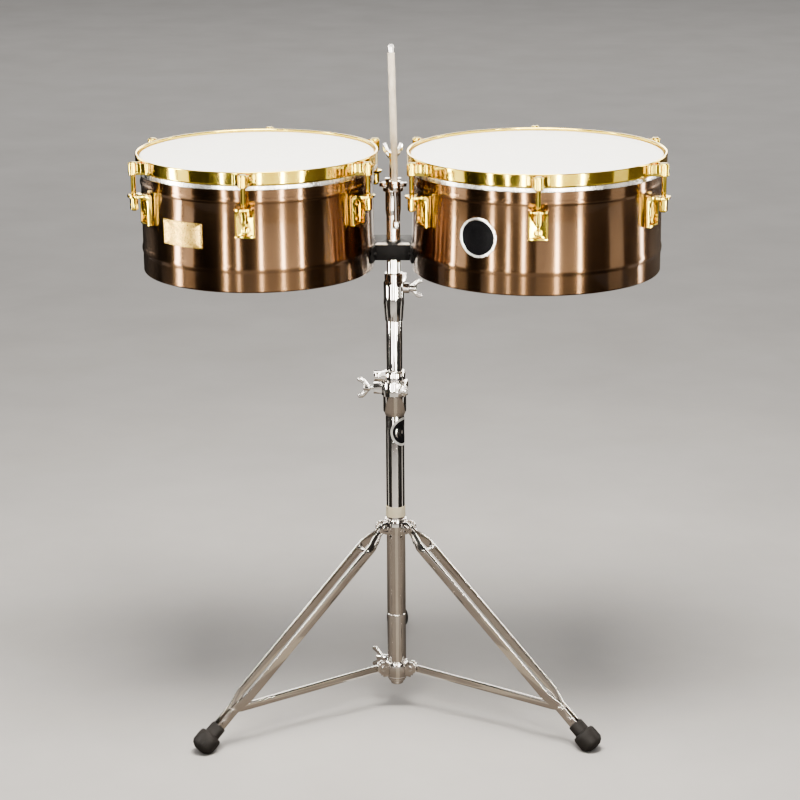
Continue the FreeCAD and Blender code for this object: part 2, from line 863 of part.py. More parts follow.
def pivot_ears(name, pivot_radius, pivot_level, slot, outer, reach, low, high):
    """Three forks round a collar, each a pair of round-nosed cheeks made along +X."""
    nose = cylinder(
        name + "_nose", reach, outer, pivot_radius, -outer / 2, pivot_level, turn(X_AXIS, -90)
    )
    root = box(
        name + "_root", pivot_radius - 15.4, outer, high - low, 15.4, -outer / 2, low
    )
    gap = box(name + "_gap", 60, slot, 80, base_radius + 2.9, -slot / 2, pivot_level - 40)
    pin = cylinder(
        name + "_pin_hole", pin_radius + running, 60, pivot_radius, -30, pivot_level,
        turn(X_AXIS, -90),
    )
    proto = cut(name + "_proto", fuse(name + "_solid", [nose, root]), [gap, pin])
    return [
        copy(f"{name}_{index}", proto, 0, 0, 0, turn(Z_AXIS, angle))
        for index, angle in enumerate(LEG_ANGLES.values())
    ]


def pivot_pins(name, pivot_radius, pivot_level, outer):
    """One headed pin through each fork."""
    head = 1.8
    shank = cylinder(
        name + "_shank", pin_radius, outer + 2 * head, pivot_radius, -outer / 2 - head,
        pivot_level, turn(X_AXIS, -90),
    )
    heads = [
        cylinder(
            f"{name}_head_{index}", 4.6, head - 0.1, pivot_radius, level, pivot_level,
            turn(X_AXIS, -90),
        )
        for index, level in enumerate((outer / 2 + 0.1, -outer / 2 - head))
    ]
    proto = fuse(name + "_proto", [shank, *heads])
    pins = [
        copy(f"{name}_{index}", proto, 0, 0, 0, turn(Z_AXIS, angle))
        for index, angle in enumerate(LEG_ANGLES.values())
    ]
    node(group(name, pins))


def collars():
    """The fixed collar that holds the legs and the sliding hub that holds the braces."""
    ring = turned(
        "leg_collar_ring",
        [
            (base_radius + 0.1, 301), (17.4, 301), (17.4, 326), (base_radius + 0.1, 326),
        ],
    )
    outer = strip_top_spread * 2 + strip_thickness + 5.8
    slot = strip_top_spread * 2 + strip_thickness + 0.8
    ears = pivot_ears(
        "leg_ear", leg_pivot_radius, leg_pivot_level, slot, outer, 9.5, 303, 322
    )
    core = cylinder("leg_collar_core", base_radius + 0.1, 60, 0, 0, 290)
    node(cut("leg_collar", fuse("leg_collar_body", [ring, *ears]), [core]))
    pivot_pins("collar_pins", leg_pivot_radius, leg_pivot_level, outer)

    sleeve = turned(
        "hub_sleeve",
        [
            (base_radius + clearance, hub_bottom), (18.4, hub_bottom), (18.8, hub_bottom + 1),
            (18.8, hub_top - 1), (18.2, hub_top), (base_radius + clearance, hub_top),
        ],
    )
    cheek = ear_slot + 5
    ears = pivot_ears(
        "hub_ear", hub_pivot_radius, hub_pivot_level, ear_slot, cheek, 10.5,
        hub_bottom + 2, hub_top - 1,
    )
    boss_turn = turn(Z_AXIS, WING_ANGLE) * turn(Y_AXIS, 90)
    boss = cylinder("hub_boss", 6.5, 10, 0, 0, hub_top - 1, boss_turn)
    boss.Placement.Base = boss_turn.multVec(FreeCAD.Vector(0, 0, 14)) + boss.Placement.Base
    core = cylinder("hub_core", base_radius + clearance, 80, 0, 0, hub_bottom - 20)
    screw_hole = cylinder("hub_screw_hole", 3 + running, 30, 0, 0, hub_top - 1, boss_turn)
    node(cut("hub", fuse("hub_body", [sleeve, boss, *ears]), [core, screw_hole]))
    pivot_pins("hub_pins", hub_pivot_radius, hub_pivot_level, cheek)
    angle = math.radians(WING_ANGLE)
    node(
        wing_screw(
            "hub_wing_screw", 9, 34, 16.2 * math.cos(angle), 16.2 * math.sin(angle),
            hub_top - 1, boss_turn,
        )
    )


def leg(name, angle):
    """Two kinked strips joined at a spacer, with their boot, in the leg's own frame.

    The leg's own +X runs from the pivot to the foot and its +Y lies round the column."""
    kinks = [
        (-5.5, strip_top_spread), (14, strip_top_spread), (38, strip_spread),
        (345, strip_spread), (368, strip_foot_spread), (strip_end, strip_foot_spread),
    ]
    inner = [(x, y - strip_thickness / 2) for x, y in kinks]
    outer = [(x, y + strip_thickness / 2) for x, y in reversed(kinks)]
    blank = slab(f"strip_blank_{name}", "XY_Plane", inner + outer, leg_width)
    half = leg_width / 2
    side = slab(
        f"strip_side_{name}", "XZ_Plane",
        [
            (-5.4, -1.5), (-3, -4.6), (0, -5.5), (12, -5.5), (24, -half), (strip_end, -half),
            (strip_end, half), (24, half), (12, 5.5), (0, 5.5), (-3, 4.6), (-5.4, 1.5),
        ],
        60,
    )
    strip = common(f"strip_{name}", blank, side)
    twin = new("Part::Mirroring", f"strip_twin_{name}")
    twin.Source = strip
    twin.Normal = (0, 1, 0)
    spacer_length = 2 * strip_spread - strip_thickness + 1
    spacer = cylinder(
        f"leg_spacer_{name}", 4, spacer_length, 48, -spacer_length / 2, 0, turn(X_AXIS, -90)
    )
    rivets = []
    for tag, along, spread in (
        ("top", 48, strip_spread), ("brace", brace_pivot_along, strip_foot_spread),
        ("foot", 397, strip_foot_spread),
    ):
        face = spread + strip_thickness / 2 - 0.2
        for sign, start in (("a", face), ("b", -face - 2)):
            rivets.append(
                cylinder(
                    f"leg_rivet_{name}_{tag}_{sign}", 4.4, 2, along, start, 0, turn(X_AXIS, -90)
                )
            )
    pivot = cylinder(
        f"leg_eye_{name}", pin_radius + running, 60, 0, -30, 0, turn(X_AXIS, -90)
    )
    body = fuse(f"leg_body_{name}", [strip, twin, spacer, *rivets])
    made = cut(f"leg_{name}", body, [pivot])
    lean = turn(Z_AXIS, angle) * turn(Y_AXIS, 90 - leg_angle.value)
    heading = math.radians(angle)
    reach = number(leg_pivot_radius)
    base = (reach * math.cos(heading), reach * math.sin(heading), leg_pivot_level)
    node(place(made, *base, lean))

    boot = turned(
        f"boot_{name}",
        [
            (0, boot_along), (11.4, boot_along), (12.2, boot_along + 1.5), (12.6, 423.5),
            (16.8, 424.5), (18.6, 428), (19, 434), (18.9, 446), (16, 451), (10, 455), (0, 456),
        ],
        0, 0, 0, turn(Y_AXIS, 90),
    )
    pocket = box(
        f"boot_pocket_{name}", 30, 2 * strip_foot_spread + strip_thickness + 0.6, leg_width + 0.6,
        boot_along - 18, -(2 * strip_foot_spread + strip_thickness + 0.6) / 2, -half - 0.3,
    )
    shaped = place(cut(f"boot_shaped_{name}", boot, [pocket]), *base, lean)
    ground = box(f"ground_{name}", 1200, 1200, 100, -600, -600, -100)
    node(cut(f"foot_{name}", shaped, [ground]))


def brace(name, angle):
    """Flat strip on edge from the hub to the leg, with a stub pin between the leg's strips."""
    slope = math.radians(number(leg_angle))
    far_radius = number(leg_pivot_radius) + number(brace_pivot_along) * math.sin(slope)
    far_level = number(leg_pivot_level) - number(brace_pivot_along) * math.cos(slope)
    run = far_radius - number(hub_pivot_radius)
    drop = number(hub_pivot_level) - far_level
    length = math.hypot(run, drop)
    half = brace_width / 2
    strip = slab(
        f"brace_strip_{name}", "XZ_Plane",
        [
            (-6, -2), (-2.5, -6), (10, -half), (length - 16, -half), (length - 3, -4.6),
            (length + 2, -4.2), (length + 4.6, 0), (length + 2, 4.2), (length - 3, 4.6),
            (length - 16, half), (10, half), (-2.5, 6), (-6, 2),
        ],
        brace_thickness,
    )
    stub = cylinder(f"brace_stub_{name}", 2.6, 6.6, length, -3.3, 0, turn(X_AXIS, -90))
    eye = cylinder(f"brace_eye_{name}", pin_radius + running, 60, 0, -30, 0, turn(X_AXIS, -90))
    made = cut(f"brace_{name}", fuse(f"brace_body_{name}", [strip, stub]), [eye])
    heading = math.radians(angle)
    reach = number(hub_pivot_radius)
    lean = turn(Z_AXIS, angle) * turn(Y_AXIS, math.degrees(math.atan2(drop, run)))
    node(
        place(made, reach * math.cos(heading), reach * math.sin(heading), hub_pivot_level, lean)
    )


def write_parts():
    DOCUMENT.recompute()
    broken = [
        item.Label for item in DOCUMENT.Objects
        if "Invalid" in item.State or "Error" in item.State
    ]
    for item in NODES:
        shape = item.Shape
        if shape.isNull() or not shape.isValid() or not shape.Solids:
            broken.append(item.Label + " (shape)")
    if broken:
        raise SystemExit("not built: " + ", ".join(broken))
    os.makedirs("parts", exist_ok=True)
    for item in NODES:
        item.Shape.exportStep(f"parts/{item.Label}.step")


DRUMS = [("left", left_side, left_radius), ("right", right_side, right_radius)]
LEG_ANGLES = {
    "left": 210 + number(tripod_turn),
    "right": 330 + number(tripod_turn),
    "rear": 90 + number(tripod_turn),
}
WING_ANGLE = LEG_ANGLES["rear"] + 60

DOCUMENT.recompute()
for drum_name, drum_side, drum_radius in DRUMS:
    drum(drum_name, drum_side, drum_radius)
drum_hardware()
badges()
drum_bracket()
column()
cowbell_post()
collars()
for leg_name, leg_heading in LEG_ANGLES.items():
    leg(leg_name, leg_heading)
    brace(leg_name, leg_heading)
write_parts()
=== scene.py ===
import json
import math

import bmesh
import bpy
from mathutils import Matrix, Vector

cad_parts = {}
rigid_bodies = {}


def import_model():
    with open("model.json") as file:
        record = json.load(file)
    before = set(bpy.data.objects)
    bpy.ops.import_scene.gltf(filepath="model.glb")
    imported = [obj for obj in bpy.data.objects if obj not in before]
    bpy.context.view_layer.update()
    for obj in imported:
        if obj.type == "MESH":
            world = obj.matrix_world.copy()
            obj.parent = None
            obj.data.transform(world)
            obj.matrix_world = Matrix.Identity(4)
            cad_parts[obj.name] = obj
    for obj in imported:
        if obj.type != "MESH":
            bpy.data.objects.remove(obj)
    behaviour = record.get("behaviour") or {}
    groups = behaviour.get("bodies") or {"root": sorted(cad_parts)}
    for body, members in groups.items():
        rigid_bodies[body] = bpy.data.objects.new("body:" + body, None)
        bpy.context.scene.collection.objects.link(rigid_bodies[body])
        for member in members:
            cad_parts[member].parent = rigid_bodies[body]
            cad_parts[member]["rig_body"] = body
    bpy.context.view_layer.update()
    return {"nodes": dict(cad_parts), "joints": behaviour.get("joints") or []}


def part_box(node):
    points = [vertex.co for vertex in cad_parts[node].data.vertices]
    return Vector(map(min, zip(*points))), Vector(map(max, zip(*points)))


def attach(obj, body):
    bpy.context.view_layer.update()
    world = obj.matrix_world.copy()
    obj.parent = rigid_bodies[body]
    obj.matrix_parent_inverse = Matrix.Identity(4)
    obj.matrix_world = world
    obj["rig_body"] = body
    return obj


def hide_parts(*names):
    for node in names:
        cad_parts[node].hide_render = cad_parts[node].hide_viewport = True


# Timbales in metres, in the CAD frame. Outlines are given in millimetres and scaled by MM.
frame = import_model()
MM = 0.001
HERE = Matrix.Identity(4)
SIDES = ("left", "right")
LUG_ANGLES = [0, 60, 120, 180, 240, 300]
NUTS = range(1, 7)
RIM_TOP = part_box("rim_left")[1].z / MM
SHELL_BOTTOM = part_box("shell_left")[0].z / MM
SHELL_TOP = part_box("shell_left")[1].z / MM

# Parts of a drum, in millimetres from its shell's outer wall or from the level named.
BEAD = 1.5
BEAD_CREST = 1.3
ARC_STEPS = 8
SHELL_WALL = 1.4
LOWER_BEAD_FOOT = 28.5
LOWER_BEAD_HEIGHT = 16
UPPER_BEAD_DROP = 49.5
UPPER_BEAD_HEIGHT = 11.5
HEM_RADIUS = 3
HEAD_REACH = 0.9
HEAD_SKIRT = 19.8
FILM = 0.5
HOOP_GAP = 1
HOOP_REACH = 6.4
RIM_REACH = 7.25
RIM_WALL = 3.4
EYE_REACH = 24.6
EYE_BORE = 4.2
EYE_RADIUS = 7

# Column, in millimetres.
BASE_TUBE_RADIUS = 15
BASE_TUBE_BORE = 13.1
BASE_TUBE_SEAM = 163.5
SEAM_DEPTH = 0.8
SEAM_HALF = 0.6
LABEL_LEVEL = 472
LABEL_ANGLE = 62
LABEL_RADIUS = 23

# Badges, in millimetres.
NAME_PLATE_HALF_WIDTH = 38
NAME_PLATE_HALF_HEIGHT = 19
ROUND_BADGE_RADIUS = 30

# Brushing runs round the drum: a quarter turn from the upright tangent.
ACROSS = 0.25
BRONZE_DARK = (0.112, 0.059, 0.026)
BRONZE_LIGHT = (0.175, 0.096, 0.044)
ENGRAVED_DARK = (0.25, 0.155, 0.028)
ENGRAVED_LIGHT = (0.32, 0.21, 0.045)

# Most of a noise lies between these values.
NOISE_LOW = 0.3
NOISE_HIGH = 0.7

# Viewing place in metres and turns in degrees.
CAMERA_PLACE = (0.1705, -3.5337, 1.5661)
CAMERA_LENS = 105.3
CAMERA_SENSOR = 36
CAMERA_PAN = 2.63
CAMERA_TILT = -16.45
CAMERA_ROLL = -0.44

# Lamps: warm white, and the white of the ceiling. Directions run round the column from the front.
WARM = (1, 0.95, 0.87)
SOFT_WHITE = (1, 0.98, 0.95)
# Reflections on upright walls run down by this slope, and those below this level miss the strips.
DOWNWARD = 0.295
CHROME_TOP = 0.76
STRIP_TOP = 1.85
# Direction, reach, width and brightness of each tall light.
STRIPS = [
    (-77, 1.6, 0.13, 110), (-66, 1.9, 0.35, 4), (-32, 1.52, 0.05, 110), (-19, 2.05, 0.06, 60),
    (-1.4, 1.3, 0.05, 90), (23, 2.05, 0.09, 120), (42, 2.1, 0.08, 110), (22, 2.15, 1.3, 2.6),
    (75, 1.9, 0.45, 1.5), (104, 1.9, 0.1, 60), (165, 1.9, 0.35, 1.5), (-165, 1.9, 0.35, 1.5),
]
# Direction and width of the lights behind, which the upper edges of the legs and braces mirror.
KICKERS = [(-125, 0.8), (130, 0.8), (180, 1.6)]
KICKER_REACH = 1.95
KICKER_FOOT = 1.05
KICKER_TOP = 1.55
KICKER_BRIGHTNESS = 14

# Dark and brown sheets that only reflections see.
CARD_FOOT = 0.01
MAT_LEVEL = 0.002
MAT_START = 0.06
MAT_REACH = 0.98
MAT_STEPS = 72
FLOOR_HALF = 30

# Brightness of the room by height: the share from the lowest direction to the highest.
ROOM = [
    (0.0, (0.1, 0.09, 0.08)), (0.5, (0.1, 0.09, 0.085)), (0.6, (0.14, 0.135, 0.13)),
    (1.0, (0.5, 0.5, 0.5)),
]
ROOM_STRENGTH = 0.9


# ---------------------------------------------------------------- outlines

def corner_arc(before, corner, after, radius, steps):
    """Points of a round corner; a short side limits its radius."""
    start, tip, end = Vector(before), Vector(corner), Vector(after)
    first, second = start - tip, end - tip
    if first.length < 1e-6 or second.length < 1e-6:
        return [corner]
    opening = first.angle(second)
    if opening > math.radians(175) or opening < math.radians(4):
        return [corner]
    reach = min(radius / math.tan(opening / 2), first.length * 0.48, second.length * 0.48)
    first.normalize()
    second.normalize()
    a, b = tip + first * reach, tip + second * reach
    points = []
    for step in range(steps + 1):
        part = step / steps
        points.append(a.lerp(tip, part).lerp(tip.lerp(b, part), part))
    return [tuple(point) for point in points]


def rounded(corners, radius, steps=3, closed=True):
    """An outline with every corner rounded, apart from the ends of an open one."""
    points = []
    count = len(corners)
    for index, corner in enumerate(corners):
        if not closed and index in (0, count - 1):
            points.append(corner)
            continue
        before, after = corners[index - 1], corners[(index + 1) % count]
        points += corner_arc(before, corner, after, radius, steps)
    return points


def circle(radius, steps=72):
    """Points of a whole circle."""
    turns = [2 * math.pi * step / steps for step in range(steps)]
    return [(radius * math.cos(turn), radius * math.sin(turn)) for turn in turns]


def subdivided(corners, parts):
    """More points along the sides of an outline, so that it can bend."""
    points = []
    for index, corner in enumerate(corners):
        after = corners[(index + 1) % len(corners)]
        for step in range(parts):
            part = step / parts
            across = corner[0] + (after[0] - corner[0]) * part
            up = corner[1] + (after[1] - corner[1]) * part
            points.append((across, up))
    return points


# ---------------------------------------------------------------- meshes

def make_piece(name, mesh_data, material, body, nodes=(), smooth=38):
    """An object from a bmesh, riding on a body and standing for CAD nodes."""
    bmesh.ops.recalc_face_normals(mesh_data, faces=mesh_data.faces)
    mesh = bpy.data.meshes.new(name)
    mesh_data.to_mesh(mesh)
    mesh_data.free()
    for face in mesh.polygons:
        face.use_smooth = True
    mesh.set_sharp_from_angle(angle=math.radians(smooth))
    piece = bpy.data.objects.new(name, mesh)
    bpy.context.scene.collection.objects.link(piece)
    mesh.materials.append(material)
    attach(piece, body)
    if nodes:
        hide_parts(*nodes)
    return piece


def bridge(target, lower, upper, count):
    """Faces between two rings. Either ring may be a single point."""
    for index in range(count):
        after = (index + 1) % count
        corners = [
            lower[index % len(lower)], lower[after % len(lower)],
            upper[after % len(upper)], upper[index % len(upper)],
        ]
        target.faces.new(list(dict.fromkeys(corners)))


def turned(target, profile, place=HERE, segments=96, closed=True):
    """Adds a turned solid to a bmesh. The profile is radius and height in millimetres."""
    rings = []
    for radius, height in profile:
        if radius < 1e-6:
            rings.append([target.verts.new(place @ Vector((0, 0, height * MM)))])
            continue
        ring = []
        for index in range(segments):
            angle = 2 * math.pi * index / segments
            spot = Vector((radius * math.cos(angle), radius * math.sin(angle), height)) * MM
            ring.append(target.verts.new(place @ spot))
        rings.append(ring)
    pairs = list(zip(rings, rings[1:]))
    if closed:
        pairs.append((rings[-1], rings[0]))
    for lower, upper in pairs:
        if len(lower) > 1 or len(upper) > 1:
            bridge(target, lower, upper, segments)
    return target


def ease(part, edges, size):
    """Rounds edges by a size in millimetres."""
    bmesh.ops.bevel(
        part, geom=edges, offset=size * MM, segments=2, profile=0.5, affect="EDGES",
        clamp_overlap=True,
    )


def plate(target, outline, low, high, bevel, place=HERE):
    """Adds an outline in X and Y, in millimetres, raised from low to high with eased edges."""
    part = bmesh.new()
    base = [part.verts.new(Vector((x, y, low)) * MM) for x, y in outline]
    face = part.faces.new(base)
    made = bmesh.ops.extrude_face_region(part, geom=[face])
    lifted = [item for item in made["geom"] if isinstance(item, bmesh.types.BMVert)]
    bmesh.ops.translate(part, verts=lifted, vec=(0, 0, (high - low) * MM))
    bmesh.ops.recalc_face_normals(part, faces=part.faces)
    sharp = [edge for edge in part.edges if edge.calc_face_angle(0) > math.radians(50)]
    ease(part, sharp, bevel)
    spots = {vert: target.verts.new(place @ vert.co) for vert in part.verts}
    for face in part.faces:
        target.faces.new([spots[vert] for vert in face.verts])
    part.free()
    return target


def around(angle, centre):
    """Turns a piece made along +X to an angle from the front, round a drum's centre."""
    turn = Matrix.Rotation(math.radians(angle - 90), 4, "Z")
    return Matrix.Translation(Vector((centre[0], centre[1], 0))) @ turn


def refined(node, material, bevel):
    """A CAD node with its edges eased and its round faces smooth."""
    source = frame["nodes"][node]
    part = bmesh.new()
    part.from_mesh(source.data)
    bmesh.ops.remove_doubles(part, verts=part.verts, dist=2e-6)
    bmesh.ops.dissolve_limit(
        part, angle_limit=math.radians(1.5), verts=part.verts, edges=part.edges
    )
    sharp = [edge for edge in part.edges if edge.calc_face_angle(0) > math.radians(40)]
    ease(part, sharp, bevel)
    return make_piece(node + "_shown", part, material, source["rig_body"], [node])


# ---------------------------------------------------------------- materials

def new_material(name, colour, metallic, roughness):
    """A material with its node tree and its main shader."""
    material = bpy.data.materials.new(name)
    material.use_nodes = True
    shader = material.node_tree.nodes["Principled BSDF"]
    shader.inputs["Base Color"].default_value = (*colour, 1)
    shader.inputs["Metallic"].default_value = metallic
    shader.inputs["Roughness"].default_value = roughness
    return material, material.node_tree, shader


def noise_of(tree, scale, stretch=(1, 1, 1), detail=4, roughness=0.6):
    """A noise texture in object space, stretched along the given axes."""
    place = tree.nodes.new("ShaderNodeTexCoord")
    stretcher = tree.nodes.new("ShaderNodeMapping")
    stretcher.inputs["Scale"].default_value = stretch
    noise = tree.nodes.new("ShaderNodeTexNoise")
    noise.inputs["Scale"].default_value = scale
    noise.inputs["Detail"].default_value = detail
    noise.inputs["Roughness"].default_value = roughness
    tree.links.new(place.outputs["Object"], stretcher.inputs["Vector"])
    tree.links.new(stretcher.outputs["Vector"], noise.inputs["Vector"])
    return noise.outputs["Fac"]


def remap(tree, value, low, high):
    """Spreads the middle of a noise over low to high."""
    spread = tree.nodes.new("ShaderNodeMapRange")
    spread.inputs["From Min"].default_value = NOISE_LOW
    spread.inputs["From Max"].default_value = NOISE_HIGH
    spread.inputs["To Min"].default_value = low
    spread.inputs["To Max"].default_value = high
    tree.links.new(value, spread.inputs["Value"])
    return spread.outputs["Result"]


def colours(tree, shader, value, dark, light):
    """Runs the base colour from dark to light over the middle of a noise."""
    ramp = tree.nodes.new("ShaderNodeValToRGB")
    ramp.color_ramp.elements[0].position = NOISE_LOW
    ramp.color_ramp.elements[0].color = (*dark, 1)
    ramp.color_ramp.elements[1].position = NOISE_HIGH
    ramp.color_ramp.elements[1].color = (*light, 1)
    tree.links.new(value, ramp.inputs["Fac"])
    tree.links.new(ramp.outputs["Color"], shader.inputs["Base Color"])


def bump(tree, shader, value, strength, distance=0.0002):
    """Raises a noise from the surface, by a distance in metres."""
    node = tree.nodes.new("ShaderNodeBump")
    node.inputs["Strength"].default_value = strength
    node.inputs["Distance"].default_value = distance
    tree.links.new(value, node.inputs["Height"])
    tree.links.new(node.outputs["Normal"], shader.inputs["Normal"])


def polished(name, dark, light, low, high, texture=60):
    """Plated metal: a slight waviness, faint smears in its gloss and a little colour drift."""
    material, tree, shader = new_material(name, light, 1, (low + high) / 2)
    smear = noise_of(tree, texture, (1, 1, 0.4), 5)
    tree.links.new(remap(tree, smear, low, high), shader.inputs["Roughness"])
    colours(tree, shader, noise_of(tree, texture / 3), dark, light)
    bump(tree, shader, noise_of(tree, 900, (1, 1, 1), 2), 0.05, 0.00005)
    return material


def brushed_shell():
    """Dark bronze plate brushed round the drum, so that lights draw out into upright streaks."""
    material, tree, shader = new_material("brushed_bronze", BRONZE_LIGHT, 1, 0.2)
    lines = noise_of(tree, 1.0, (7, 7, 2600), 3, 0.7)
    smear = noise_of(tree, 14, (1, 1, 0.35), 4)
    colours(tree, shader, smear, BRONZE_DARK, BRONZE_LIGHT)
    tree.links.new(remap(tree, lines, 0.16, 0.24), shader.inputs["Roughness"])
    bump(tree, shader, lines, 0.05, 0.00003)
    shader.inputs["Anisotropic"].default_value = 1.0
    shader.inputs["Anisotropic Rotation"].default_value = ACROSS
    shader.inputs["Coat Weight"].default_value = 0.25
    shader.inputs["Coat Roughness"].default_value = 0.05
    tangent = tree.nodes.new("ShaderNodeTangent")
    tangent.direction_type = "RADIAL"
    tangent.axis = "Z"
    tree.links.new(tangent.outputs["Tangent"], shader.inputs["Tangent"])
    return material


def plastic(name, dark, light, low, high, scale, strength, sheen=0.5):
    """Moulded or coated surface with fine grain."""
    material, tree, shader = new_material(name, light, 0, (low + high) / 2)
    shader.inputs["Specular IOR Level"].default_value = sheen
    fine = noise_of(tree, scale, (1, 1, 1), 6)
    tree.links.new(remap(tree, fine, low, high), shader.inputs["Roughness"])
    colours(tree, shader, noise_of(tree, scale / 12), dark, light)
    bump(tree, shader, fine, strength)
    return material


def engraved_plate():
    """Gold sheet with a fine tooled grain, blank of any lettering."""
    material, tree, shader = new_material("engraved_gold", ENGRAVED_LIGHT, 1, 0.3)
    grain = noise_of(tree, 420, (1, 1, 1), 5)
    colours(tree, shader, noise_of(tree, 160), ENGRAVED_DARK, ENGRAVED_LIGHT)
    tree.links.new(remap(tree, grain, 0.22, 0.36), shader.inputs["Roughness"])
    bump(tree, shader, grain, 0.5, 0.0002)
    return material


PLATE = engraved_plate()
BRONZE = brushed_shell()
GOLD = polished("gold_plate", (0.72, 0.49, 0.035), (0.86, 0.66, 0.075), 0.05, 0.13)
CHROME = polished("chrome_plate", (0.68, 0.65, 0.62), (0.8, 0.78, 0.75), 0.04, 0.11)
HOOP = polished("bright_aluminium", (0.75, 0.74, 0.71), (0.9, 0.89, 0.86), 0.2, 0.32, 90)
HEAD = plastic("coated_film", (0.93, 0.92, 0.86), (0.97, 0.965, 0.91), 0.4, 0.55, 700, 0.12)
BLACK = plastic(
    "black_paint", (0.004, 0.0038, 0.0035), (0.009, 0.0085, 0.008), 0.45, 0.65, 900, 0.2, 0.05
)
RUBBER = plastic(
    "foot_rubber", (0.009, 0.007, 0.006), (0.02, 0.016, 0.013), 0.45, 0.65, 500, 0.3, 0.12
)
CREAM = plastic("cream_tape", (0.8, 0.68, 0.42), (0.92, 0.82, 0.56), 0.4, 0.6, 900, 0.25)
IVORY = plastic("ivory_sleeve", (0.62, 0.51, 0.38), (0.8, 0.69, 0.54), 0.32, 0.5, 800, 0.15)
GLOSS_BLACK = plastic(
    "badge_black", (0.004, 0.004, 0.005), (0.009, 0.009, 0.01), 0.2, 0.32, 400, 0.05, 0.02
)
FLAG_CLOTH = plastic(
    "flag_cloth", (0.008, 0.007, 0.006), (0.012, 0.01, 0.009), 0.8, 0.9, 60, 0.1, 0.1
)
MAT_CLOTH = plastic(
    "mat_cloth", (0.1, 0.08, 0.062), (0.13, 0.105, 0.085), 0.8, 0.9, 60, 0.1, 0.1
)
PALE_MAT_CLOTH = plastic(
    "pale_mat_cloth", (0.19, 0.16, 0.12), (0.23, 0.195, 0.15), 0.8, 0.9, 60, 0.1, 0.1
)
WHITE_PRINT = plastic("white_print", (0.6, 0.58, 0.54), (0.75, 0.73, 0.7), 0.3, 0.45, 500, 0.05)
FLOOR_PAINT = plastic("pale_floor", (0.5, 0.48, 0.46), (0.56, 0.54, 0.52), 0.9, 1.0, 40, 0.02)


# ---------------------------------------------------------------- drums

def levels(box):
    """Lowest and highest level of a CAD box, in millimetres."""
    low, high = box
    return low.z / MM, high.z / MM


def drum_place(side):
    """Centre of a drum and the radius of its shell, from the shell's CAD box."""
    low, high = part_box(f"shell_{side}")
    centre = ((low.x + high.x) / 2, (low.y + high.y) / 2)
    return centre, (high.x - low.x) / 2 / MM - BEAD


def bead_points(radius, foot, height):
    """A raised round bead on the wall of a shell."""
    points = []
    for step in range(ARC_STEPS + 1):
        part = step / ARC_STEPS
        rise = BEAD * math.sin(math.pi * part) ** BEAD_CREST
        points.append((radius + rise, foot + height * part))
    return points


def shell(side):
    """Wall with two raised beads and a rolled lower edge."""
    centre, radius = drum_place(side)
    outer = [
        *bead_points(radius, SHELL_BOTTOM + LOWER_BEAD_FOOT, LOWER_BEAD_HEIGHT),
        *bead_points(radius, RIM_TOP - UPPER_BEAD_DROP, UPPER_BEAD_HEIGHT),
        (radius, SHELL_TOP),
    ]
    inner = [(edge - SHELL_WALL, level) for edge, level in reversed(outer)]
    hem_centre, hem_level = radius - HEM_RADIUS, SHELL_BOTTOM + HEM_RADIUS
    hem = []
    for step in range(ARC_STEPS + 1):
        angle = math.pi * (1 - step / ARC_STEPS)
        edge = hem_centre + HEM_RADIUS * math.cos(angle)
        hem.append((edge, hem_level - HEM_RADIUS * math.sin(angle)))
    profile = hem + outer + inner + [(hem_centre - HEM_RADIUS + SHELL_WALL, hem_level)]
    made = turned(bmesh.new(), profile, around(90, centre), 192)
    make_piece(f"shell_{side}_shown", made, BRONZE, "drums", [f"shell_{side}"], 50)


def head(side):
    """Film drawn over its hoop: flat in the middle, raised round the edge, with a skirt."""
    centre, radius = drum_place(side)
    top = levels(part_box(f"head_{side}"))[1]
    edge = radius + HEAD_REACH
    face = top - 0.1
    profile = [
        (0, face), (radius * 0.5, face), (radius * 0.9, face), (radius - 6, face),
        (radius - 4.5, top), (radius - 1.5, top), (edge - 0.3, top - 0.8), (edge, top - 2),
        (edge, top - HEAD_SKIRT), (edge - FILM, top - HEAD_SKIRT), (edge - FILM, top - 2.2),
        (radius - 2, face - FILM), (0, face - FILM),
    ]
    made = turned(bmesh.new(), profile, around(90, centre), 160, False)
    make_piece(f"head_{side}_shown", made, HEAD, "drums", [f"head_{side}"])


def flesh_hoop(side):
    """Bright hoop that the head is drawn over."""
    centre, radius = drum_place(side)
    base, top = levels(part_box(f"flesh_hoop_{side}"))
    near, far = radius + HOOP_GAP, radius + HOOP_REACH
    corners = [(near, base), (far, base), (far, top), (near, top)]
    made = turned(bmesh.new(), rounded(corners, 1.2), around(90, centre), 160)
    make_piece(
        f"flesh_hoop_{side}_shown", made, HOOP, "drums", [f"flesh_hoop_{side}"]
    )


def rim(side):
    """Gold band with six bent straps, each wrapped round a tuning rod."""
    centre, radius = drum_place(side)
    base = levels(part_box(f"rim_{side}"))[0]
    outer = radius + RIM_REACH
    inner = outer - RIM_WALL
    reach = radius + EYE_REACH
    corners = [
        (inner, base + 0.2), (outer - 0.4, base + 0.2), (outer, base + 2.4),
        (outer, RIM_TOP - 1.4), (outer - 0.8, RIM_TOP), (outer - 2.6, RIM_TOP),
        (inner, RIM_TOP - 1),
    ]
    made = turned(bmesh.new(), rounded(corners, 1.0), around(90, centre), 192)
    strap_foot, strap_top = RIM_TOP - 19.6, RIM_TOP - 2.4
    eye_foot, eye_top = RIM_TOP - 19.8, RIM_TOP - 2.2
    eye = rounded([
        (EYE_BORE, eye_foot), (EYE_RADIUS, eye_foot), (EYE_RADIUS, eye_top), (EYE_BORE, eye_top),
    ], 1.3)
    for angle in LUG_ANGLES:
        place = around(angle, centre)
        plate(made, strap_outline(outer, reach), strap_foot, strap_top, 0.9, place)
        turned(made, eye, place @ Matrix.Translation((reach * MM, 0, 0)), 40)
    make_piece(f"rim_{side}_shown", made, GOLD, "drums", [f"rim_{side}"], 34)


